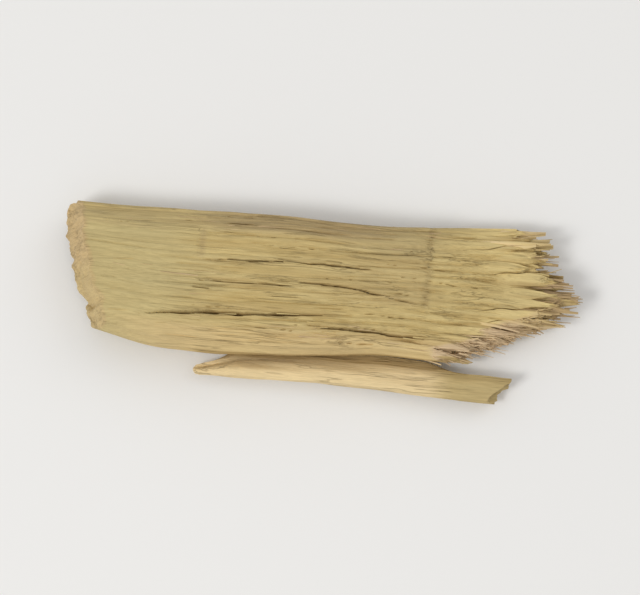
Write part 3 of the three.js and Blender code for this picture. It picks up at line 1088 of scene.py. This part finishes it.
def grain_group():
    """The pattern of split grain, for a place in millimetres with x along the fibres."""
    group = bpy.data.node_groups.new("Split grain", "ShaderNodeTree")
    group.interface.new_socket("Place", in_out="INPUT", socket_type="NodeSocketVector")
    for name in GRAIN_OUTPUTS:
        group.interface.new_socket(name, in_out="OUTPUT", socket_type="NodeSocketFloat")
    t = Tree(group)
    place = t.node("NodeGroupInput").outputs["Place"]
    drift = t.noise(t.stretched(place, 0.12, 0.45), detail=1.0)
    offset = t.maths("MULTIPLY", t.maths("SUBTRACT", drift, 0.5), 0.8)
    shift = t.node("ShaderNodeCombineXYZ", {1: offset, 2: offset}).outputs[0]
    place = t.vector_maths("ADD", place, shift)

    streak = t.noise(t.stretched(place, 0.1, 1.5), detail=5.0, roughness=0.62)
    tint = t.noise(t.stretched(place, 0.13, 0.42), detail=2.0)
    thread = t.noise(t.stretched(place, 0.07, 3.1), detail=3.0, roughness=0.55)
    off_thread = t.maths("ABSOLUTE", t.maths("SUBTRACT", thread, 0.5))
    broken = t.between(t.noise(t.stretched(place, 0.22, 1.1), detail=2.0), 0.45, 0.6)
    line = t.maths("MULTIPLY", t.between(off_thread, 0.004, 0.022, 1.0, 0.0), broken)
    cell_place = t.stretched(place, 0.3, 6.5)
    cells = t.node("ShaderNodeTexVoronoi", {"Vector": cell_place, "Scale": 1.0})
    chosen = t.node("ShaderNodeSeparateColor", {0: cells.outputs["Color"]}).outputs[0]
    dash = t.between(cells.outputs["Distance"], 0.1, 0.24, 1.0, 0.0)
    vessel = t.maths("MULTIPLY", dash, t.between(chosen, 0.45, 0.6))
    fibre = t.noise(t.stretched(place, 0.7, 17.0), detail=3.0, roughness=0.6)
    shear = t.noise(t.vector_maths("MULTIPLY", place, (0.5, 6.0, 0.9)), detail=3.0, roughness=0.6)
    outputs = (streak, tint, line, vessel, fibre, shear)
    t.node("NodeGroupOutput", dict(zip(GRAIN_OUTPUTS, outputs)))
    return group


def grain_pattern(t, group):
    """The place in millimetres, and the grain there."""
    metres = t.node("ShaderNodeTexCoord").outputs["Object"]
    place = t.node("ShaderNodeVectorMath", {0: metres, "Scale": 1 / MM}, operation="SCALE").outputs[0]
    return place, t.node("ShaderNodeGroup", {"Place": place}, node_tree=group).outputs


def new_material(name):
    material = bpy.data.materials.new(name)
    material.use_nodes = True
    material.node_tree.nodes.clear()
    return material, Tree(material.node_tree)


def finish_material(t, colour, roughness, height, depth):
    """The shader itself: dry wood with its fibres as a fine bump, as deep as depth millimetres."""
    bump = t.node("ShaderNodeBump", {"Strength": 1.0, "Distance": depth * MM, "Height": height})
    shader_inputs = {
        "Base Color": colour,
        "Roughness": roughness,
        "Specular IOR Level": 0.3,
        "Normal": bump.outputs[0],
    }
    shader = t.node("ShaderNodeBsdfPrincipled", shader_inputs)
    t.node("ShaderNodeOutputMaterial", {"Surface": shader.outputs[0]})


def wood_material(colours, group):
    """The chip's own finish: straw wood, paler where it is torn, with painted shade browning its cracks and
    gaps.
    """
    material, t = new_material("Pale split wood")
    _, pattern = grain_pattern(t, group)
    marks = {name: t.mark(name) for name in (*MARK_STRENGTHS, "crevice")}
    sheared, crevice = marks["sheared"], marks["crevice"]

    colour = t.mix(t.between(pattern["Streak"], 0.3, 0.7), colours["dark"], colours["light"])
    colour = t.mix(t.between(pattern["Tint"], 0.4, 0.65, 0.0, 0.45), colour, colours["grey"])
    for name, strength in MARK_STRENGTHS.items():
        colour = t.mix(t.maths("MULTIPLY", marks[name], strength), colour, colours[name])
    dragged = t.maths("MULTIPLY", sheared, t.between(pattern["Shear"], 0.45, 0.62, 0.0, 0.5))
    colour = t.mix(dragged, colour, colours["weathered"])
    fine = t.between(pattern["Fibre"], 0.3, 0.7, 0.9, 1.09)
    shade = t.node("ShaderNodeCombineColor", {0: fine, 1: fine, 2: fine}).outputs[0]
    colour = t.mix(1.0, colour, shade, "MULTIPLY")
    clear = t.maths("SUBTRACT", 1.0, t.maths("MULTIPLY", marks["bleached"], BLEACHED_CLEARNESS))
    vessel = t.maths("MULTIPLY", pattern["Vessel"], clear)
    line = t.maths("MULTIPLY", pattern["Line"], clear)
    for pores, strength in ((vessel, VESSEL_STRENGTH), (line, LINE_STRENGTH)):
        colour = t.mix(t.maths("MULTIPLY", pores, strength), colour, colours["vessel"])
    # Painted shade: brown in the cracks and gaps, darkest at their foot.
    colour = t.mix(t.between(crevice, 0.0, 0.4, 0.0, 0.72), colour, colours["crevice"])
    colour = t.mix(t.between(crevice, 0.55, 1.0, 0.0, 0.55), colour, colours["deep"])

    height = t.maths("ADD", pattern["Fibre"], t.maths("MULTIPLY", pattern["Streak"], 0.8))
    height = t.maths("SUBTRACT", height, t.maths("MULTIPLY", line, 0.9))
    height = t.maths("SUBTRACT", height, t.maths("MULTIPLY", vessel, 0.7))
    height = t.maths("ADD", height, t.maths("MULTIPLY", t.maths("MULTIPLY", pattern["Shear"], sheared), 1.5))
    roughness = t.between(pattern["Fibre"], 0.2, 0.8, 0.85, 0.65)
    finish_material(t, colour, roughness, height, WOOD_BUMP)
    return material


def fibre_material(name, dull, pale, colours, group):
    """Loose fibres: the same wood, plainer, from a dull colour to a pale one, with painted shade browning
    them at the torn end.
    """
    material, t = new_material(name)
    place, pattern = grain_pattern(t, group)
    colour = t.mix(t.between(pattern["Streak"], 0.3, 0.7), colours[dull], colours[pale])
    colour = t.mix(t.between(pattern["Tint"], 0.45, 0.6, 0.0, 0.7), colour, colours["corner"])
    colour = t.mix(t.maths("MULTIPLY", pattern["Line"], 0.5), colour, colours["vessel"])
    along = t.node("ShaderNodeSeparateXYZ", {0: place}).outputs[0]
    # Painted shade browns the fibres towards the torn tips.
    colour = t.mix(t.between(along, *FIBRE_SHADE_X, 0.0, 0.6), colour, colours["vessel"])
    finish_material(t, colour, 0.75, pattern["Fibre"], FIBRE_BUMP)
    return material


def floor_material(colour):
    material, t = new_material("Pale floor")
    shader = t.node("ShaderNodeBsdfPrincipled", {"Base Color": colour, "Roughness": 0.9})
    t.node("ShaderNodeOutputMaterial", {"Surface": shader.outputs[0]})
    return material


def colour_property(name, description, default):
    return FloatVectorProperty(
        name=name, description=description, subtype="COLOR", size=3, min=0, max=1, default=default
    )


class ChipSettings(bpy.types.PropertyGroup):
    """The sizes and colours of the chip that a user may change."""

    fibre_relief: FloatProperty(
        name="Fibre relief",
        description="Height of the fibres that lie over the ridges",
        default=0.03 * MM,
        min=0,
        max=0.1 * MM,
        unit="LENGTH",
        precision=6,
    )
    hairline_cracks: IntProperty(
        name="Hairline cracks", description="Short cracks of the top face", default=20, min=0, max=80
    )
    splints: IntProperty(
        name="Splints", description="Slim splinters of the torn end", default=90, min=0, max=400
    )
    torn_fibres: IntProperty(
        name="Torn fibres", description="Fine fibres of the torn end", default=150, min=0, max=900
    )
    corner_fibres: IntProperty(
        name="Corner fibres", description="Short fibres on the torn-off corner", default=640, min=0, max=900
    )
    lifted_fibres: IntProperty(
        name="Lifted fibres", description="Fibres come loose on the top face", default=120, min=0, max=600
    )
    light: colour_property("Light wood", "The palest streaks of the grain", (0.64, 0.502, 0.225))
    dark: colour_property("Dark wood", "The darkest streaks of the grain", (0.51, 0.375, 0.15))
    grey: colour_property("Grey wood", "Patches that have lost their yellow", (0.455, 0.36, 0.17))
    torn: colour_property("Torn wood", "Fresh wood at the torn end", (0.78, 0.615, 0.28))
    bleached: colour_property("Pale wood", "The wood near the sheared end", (0.505, 0.413, 0.193))
    sliver: colour_property("Sliver", "The sliver along the front side", (0.8, 0.62, 0.345))
    # This colour serves both wear and painted shade: the bevel, the worn layer, the steps and the sliver's
    # inner band.
    weathered: colour_property("Weathered wood", "The bevel along the rear edge", (0.37, 0.265, 0.13))
    flank: colour_property("Flank", "The band along the front edge", (0.7, 0.5, 0.245))
    sheared: colour_property("Sheared wood", "The end that was cut across", (0.58, 0.415, 0.21))
    corner: colour_property("Corner", "The slope of the torn-off corner", (0.59, 0.425, 0.28))
    # The vessel colour is also the painted shade of the loose fibres at the torn end.
    vessel: colour_property("Vessels", "Open pores and thin lines of the grain", (0.32, 0.21, 0.08))
    # The two crack colours are painted shade, in the cracks and gaps and darkest at their foot.
    crevice: colour_property("Cracks", "The walls of the cracks", (0.4, 0.272, 0.105))
    deep: colour_property("Deep cracks", "The foot of the cracks", (0.25, 0.15, 0.055))

    def colours(self):
        names = "light dark grey bleached torn sliver weathered flank sheared corner vessel crevice deep"
        return {name: (*getattr(self, name), 1.0) for name in names.split()}


class StageSettings(bpy.types.PropertyGroup):
    """The floor, the lights and the camera."""

    floor: colour_property("Floor", "The plain floor under the chip", (0.82, 0.81, 0.79))
    azimuth: FloatProperty(
        name="Azimuth",
        description="How far the camera stands round to the right of the chip's front",
        default=math.radians(5),
        subtype="ANGLE",
    )
    elevation: FloatProperty(
        name="Elevation",
        description="How far above the level the camera looks from",
        default=math.radians(75),
        min=0,
        max=math.radians(89),
        subtype="ANGLE",
    )
    distance: FloatProperty(
        name="Distance", description="From the camera to the chip", default=0.28, min=0.05, unit="LENGTH"
    )
    fill: FloatProperty(
        name="Fill",
        description="The chip's length as a share of the picture's width",
        default=0.84,
        min=0.1,
        max=1,
    )
    key: FloatProperty(
        name="Key light", description="Power of the main light", default=0.96, min=0, unit="POWER"
    )
    fill_light: FloatProperty(
        name="Fill light",
        description="Power of the light from the other side",
        default=0.3,
        min=0,
        unit="POWER",
    )
    sky: FloatProperty(
        name="Sky", description="Strength of the light from all round", default=0.6, min=0
    )


class CHIP_OT_wood(bpy.types.Operator):
    """Makes the chip itself: the wood, its splinters, its sliver and its cracks"""

    bl_idname = "chip.wood"
    bl_label = "Wood"

    def execute(self, context):
        chip = context.scene.chip
        relief = chip.fibre_relief / MM
        splinters = splinter_meshes(relief)
        bundle = combined(splinters[0], splinters[1:], "UNION")
        mesh = combined(body_mesh(chip), [bundle, sliver_mesh(relief)], "UNION")
        mesh = combined(mesh, [fissure_mesh(f) for f in TORN_FISSURES], "DIFFERENCE")
        keep_largest(mesh)
        mark_surface(mesh)
        piece = add_piece("wood", mesh, wood_material(chip.colours(), shared_grain()))
        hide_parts(NODE)
        return {"FINISHED"}


class CHIP_OT_fibres(bpy.types.Operator):
    """Adds the loose fibres of the torn end, of its corner and of the top face"""

    bl_idname = "chip.fibres"
    bl_label = "Loose fibres"

    def execute(self, context):
        chip = context.scene.chip
        rng = np.random.default_rng(FIBRE_SEED)
        torn_finish = fibre_material("Torn fibre", "torn", "sliver", chip.colours(), shared_grain())
        lifted_finish = fibre_material("Lifted fibre", "dark", "light", chip.colours(), shared_grain())
        splintered = splints(chip.splints, rng)
        frayed = torn_fibres(chip.torn_fibres, rng)
        fuzzy = corner_fuzz(chip.corner_fibres, rng)
        torn = joined_fibres(splintered, frayed, fuzzy)
        add_piece("torn_fibres", fibre_meshes("torn_fibres", within_box(torn)), torn_finish)
        lifted = within_box(lifted_fibres(chip.lifted_fibres, rng))
        add_piece("lifted_fibres", fibre_meshes("lifted_fibres", lifted), lifted_finish)
        return {"FINISHED"}


class CHIP_OT_stage(bpy.types.Operator):
    """Sets the floor, the lights and the camera"""

    bl_idname = "chip.stage"
    bl_label = "Stage"

    def execute(self, context):
        stage = context.scene.chip_stage
        add_floor(stage)
        low, high = (np.array(corner) for corner in CAD_BOX)
        centre = Vector((low + high) / 2)
        add_area_light("key", centre, KEY_OFFSET, KEY_SIZE, stage.key)
        add_area_light("fill", centre, FILL_OFFSET, FILL_SIZE, stage.fill_light)
        add_sky(stage.sky)
        add_camera(stage, centre, low, high)
        context.scene.view_settings.view_transform = "Standard"
        return {"FINISHED"}


def shared_grain():
    return bpy.data.node_groups.get("Split grain") or grain_group()


def add_floor(stage):
    bm = bmesh.new()
    bmesh.ops.create_grid(bm, x_segments=1, y_segments=1, size=FLOOR_SIZE)
    mesh = bpy.data.meshes.new("floor")
    bm.to_mesh(mesh)
    bm.free()
    mesh.materials.append(floor_material((*stage.floor, 1.0)))
    floor = bpy.data.objects.new("floor", mesh)
    bpy.context.scene.collection.objects.link(floor)


def add_area_light(name, target, offset, size, power):
    data = bpy.data.lights.new(name, "AREA")
    data.size = size
    data.energy = power
    light = bpy.data.objects.new(name, data)
    light.location = target + Vector(offset)
    light.rotation_euler = (-Vector(offset)).to_track_quat("-Z", "Y").to_euler()
    bpy.context.scene.collection.objects.link(light)


def add_sky(strength):
    world = bpy.data.worlds.new("Soft sky")
    world.use_nodes = True
    background = world.node_tree.nodes["Background"]
    background.inputs["Color"].default_value = (1, 1, 1, 1)
    background.inputs["Strength"].default_value = strength
    bpy.context.scene.world = world


def add_camera(stage, centre, low, high):
    """A long lens at the photograph's angle. The chip's length takes the set share of the picture."""
    a, e = stage.azimuth, stage.elevation
    back = Vector((math.sin(a) * math.cos(e), -math.cos(a) * math.cos(e), math.sin(e)))
    data = bpy.data.cameras.new("camera")
    across = (high[0] - low[0]) * math.cos(a) + (high[1] - low[1]) * math.sin(a)
    data.lens = data.sensor_width * stage.distance * stage.fill / across
    data.clip_start = NEAREST_SEEN
    camera = bpy.data.objects.new("camera", data)
    camera.location = centre + stage.distance * back
    camera.rotation_euler = (-back).to_track_quat("-Z", "Y").to_euler()
    bpy.context.scene.collection.objects.link(camera)
    bpy.context.scene.camera = camera


class CHIP_PT_panel(bpy.types.Panel):
    """Lists the chip's pieces and their settings"""

    bl_label = "Wood chip"
    bl_idname = "CHIP_PT_panel"
    bl_space_type = "VIEW_3D"
    bl_region_type = "UI"
    bl_category = "Wood Chip"

    def draw(self, context):
        scene = context.scene
        for settings, operators in ((scene.chip, PIECES), (scene.chip_stage, (CHIP_OT_stage,))):
            box = self.layout.box()
            for name in settings.__annotations__:
                box.prop(settings, name)
            for operator in operators:
                box.operator(operator.bl_idname)


PIECES = (CHIP_OT_wood, CHIP_OT_fibres)
CLASSES = (ChipSettings, StageSettings, *PIECES, CHIP_OT_stage, CHIP_PT_panel)


def register():
    for cls in CLASSES:
        bpy.utils.register_class(cls)
    bpy.types.Scene.chip = PointerProperty(type=ChipSettings)
    bpy.types.Scene.chip_stage = PointerProperty(type=StageSettings)


def unregister():
    del bpy.types.Scene.chip_stage
    del bpy.types.Scene.chip
    for cls in reversed(CLASSES):
        bpy.utils.unregister_class(cls)


def main():
    register()
    bpy.ops.chip.wood()
    bpy.ops.chip.fibres()
    bpy.ops.chip.stage()


if __name__ == "__main__":
    main()
